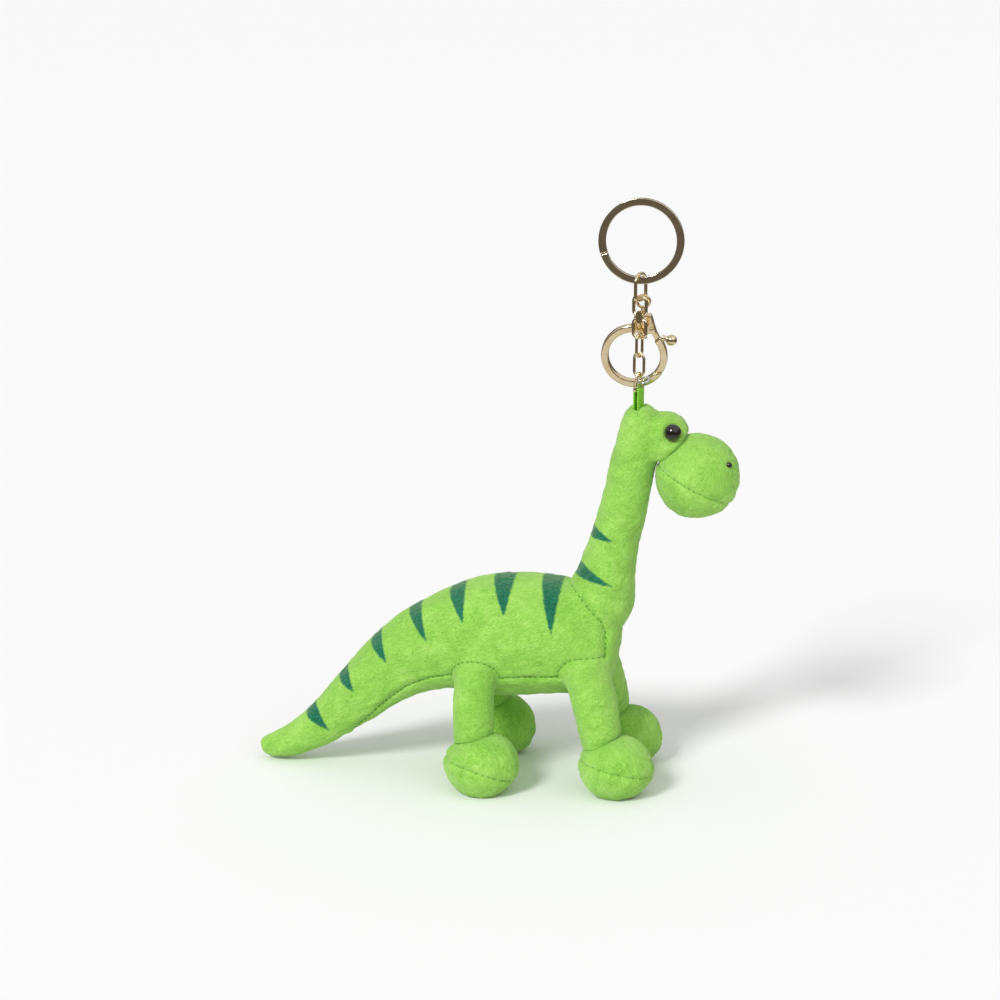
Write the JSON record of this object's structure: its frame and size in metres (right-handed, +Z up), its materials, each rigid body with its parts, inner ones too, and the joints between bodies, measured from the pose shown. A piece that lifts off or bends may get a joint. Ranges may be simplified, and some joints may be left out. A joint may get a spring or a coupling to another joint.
{
  "type": "plush keychain",
  "caption": "Stuffed long-necked dinosaur on four rounded feet, with a ribbon loop, chain, swivel, round lobster clasp and flat split key ring.",
  "frame": {"origin": "on the floor under the middle of the whole object's box", "axes": "+X towards the nose, +Y to the toy's left, +Z up through the key hardware"},
  "size_m": [0.1768, 0.068, 0.2133],
  "materials": {
    "plush_skin": "short-pile bright lime green plush with dark green printed stripes",
    "stuffing": "white polyester fibre filling",
    "ribbon": "ribbed green ribbon",
    "eye": "glossy black domed safety eye",
    "nostril": "black satin bead",
    "washer": "white moulded locking washer",
    "gold": "polished pale gold plating",
    "ring_gold": "polished pale gold plating on a flat steel split ring",
    "silver": "bright nickel plating",
    "spring_steel": "drawn spring wire"
  },
  "bodies": {
    "plush": {"torso_skin": "plush_skin", "torso_stuffing": "stuffing", "neck_skin": "plush_skin", "neck_stuffing": "stuffing", "brow_skin": "plush_skin", "brow_stuffing": "stuffing", "muzzle_skin": "plush_skin", "jaw_skin": "plush_skin", "muzzle_stuffing": "stuffing", "eye_right": "eye", "eye_left": "eye", "eye_washer_right": "washer", "eye_washer_left": "washer", "nostril_right": "nostril", "nostril_left": "nostril", "ribbon_loop": "ribbon", "leg_skin_rear_right": "plush_skin", "leg_stuffing_rear_right": "stuffing", "foot_skin_rear_right": "plush_skin", "foot_stuffing_rear_right": "stuffing", "leg_skin_rear_left": "plush_skin", "leg_stuffing_rear_left": "stuffing", "foot_skin_rear_left": "plush_skin", "foot_stuffing_rear_left": "stuffing", "leg_skin_front_right": "plush_skin", "leg_stuffing_front_right": "stuffing", "foot_skin_front_right": "plush_skin", "foot_stuffing_front_right": "stuffing", "leg_skin_front_left": "plush_skin", "leg_stuffing_front_left": "stuffing", "foot_skin_front_left": "plush_skin", "foot_stuffing_front_left": "stuffing"},
    "jump_ring": {"jump_ring": "gold"},
    "spare_ring": {"spare_ring": "silver"},
    "chain_low": {"chain_link_low": "gold"},
    "chain_high": {"chain_link_high": "gold"},
    "swivel_lower": {"swivel_bottom_loop": "gold", "swivel_rivet": "gold"},
    "swivel_upper": {"swivel_top_loop": "gold"},
    "ring_link": {"ring_link": "gold"},
    "key_ring": {"key_ring": "ring_gold"},
    "clasp_eye": {"clasp_eye": "gold"},
    "clasp": {"clasp_body": "gold", "clasp_gate_pin": "gold", "clasp_spring": "spring_steel"},
    "gate": {"clasp_gate": "gold"}
  },
  "joints": [
    {"name": "jump_ring_swing", "type": "hinge", "parent": "plush", "child": "jump_ring", "pos_m": [0.0524, -0.0015, 0.1458], "axis": [0.4226, 0.9063, 0], "range_deg": [-45, 45]},
    {"name": "spare_ring_swing", "type": "hinge", "parent": "jump_ring", "child": "spare_ring", "pos_m": [0.05319, 0.00019, 0.1492], "axis": [-0.1447, -0.3104, 0.9395], "range_deg": [-25, 25]},
    {"name": "chain_low_swing", "type": "hinge", "parent": "jump_ring", "child": "chain_low", "pos_m": [0.0524, -0.0015, 0.152], "axis": [-0.4226, -0.9063, 0], "range_deg": [-50, 45]},
    {"name": "chain_high_swing", "type": "hinge", "parent": "chain_low", "child": "chain_high", "pos_m": [0.0524, -0.0015, 0.15896], "axis": [0.9063, -0.4226, 0], "range_deg": [-8, 50]},
    {"name": "swivel_swing", "type": "hinge", "parent": "chain_high", "child": "swivel_lower", "pos_m": [0.0524, -0.0015, 0.16592], "axis": [0.4226, 0.9063, 0], "range_deg": [-25, 45]},
    {"name": "swivel_turn", "type": "hinge", "parent": "swivel_lower", "child": "swivel_upper", "pos_m": [0.0524, -0.0015, 0.17185], "axis": [0, 0, 1], "continuous": true},
    {"name": "ring_link_swing", "type": "hinge", "parent": "swivel_upper", "child": "ring_link", "pos_m": [0.0524, -0.0015, 0.179], "axis": [0.9063, -0.4226, 0], "range_deg": [-6, 60]},
    {"name": "key_ring_swing", "type": "hinge", "parent": "ring_link", "child": "key_ring", "pos_m": [0.0524, 0.0002, 0.18458], "axis": [-1, 0, 0], "range_deg": [-100, 100]},
    {"name": "clasp_swing", "type": "hinge", "parent": "ring_link", "child": "clasp_eye", "pos_m": [0.05319, 0.0019, 0.17768], "axis": [0, 0.9781, 0.2079], "range_deg": [-25, 25]},
    {"name": "clasp_turn", "type": "hinge", "parent": "clasp_eye", "child": "clasp", "pos_m": [0.05319, 0.00335, 0.17083], "axis": [0, -0.2079, 0.9781], "range_deg": [-20, 20]},
    {"name": "gate_press", "type": "hinge", "parent": "clasp", "child": "gate", "pos_m": [0.05619, 0.00402, 0.1677], "axis": [0, 0.9781, 0.2079], "range_deg": [0, 25], "stiffness_Nm_per_rad": 0.03, "springref_deg": -22.92}
  ]
}
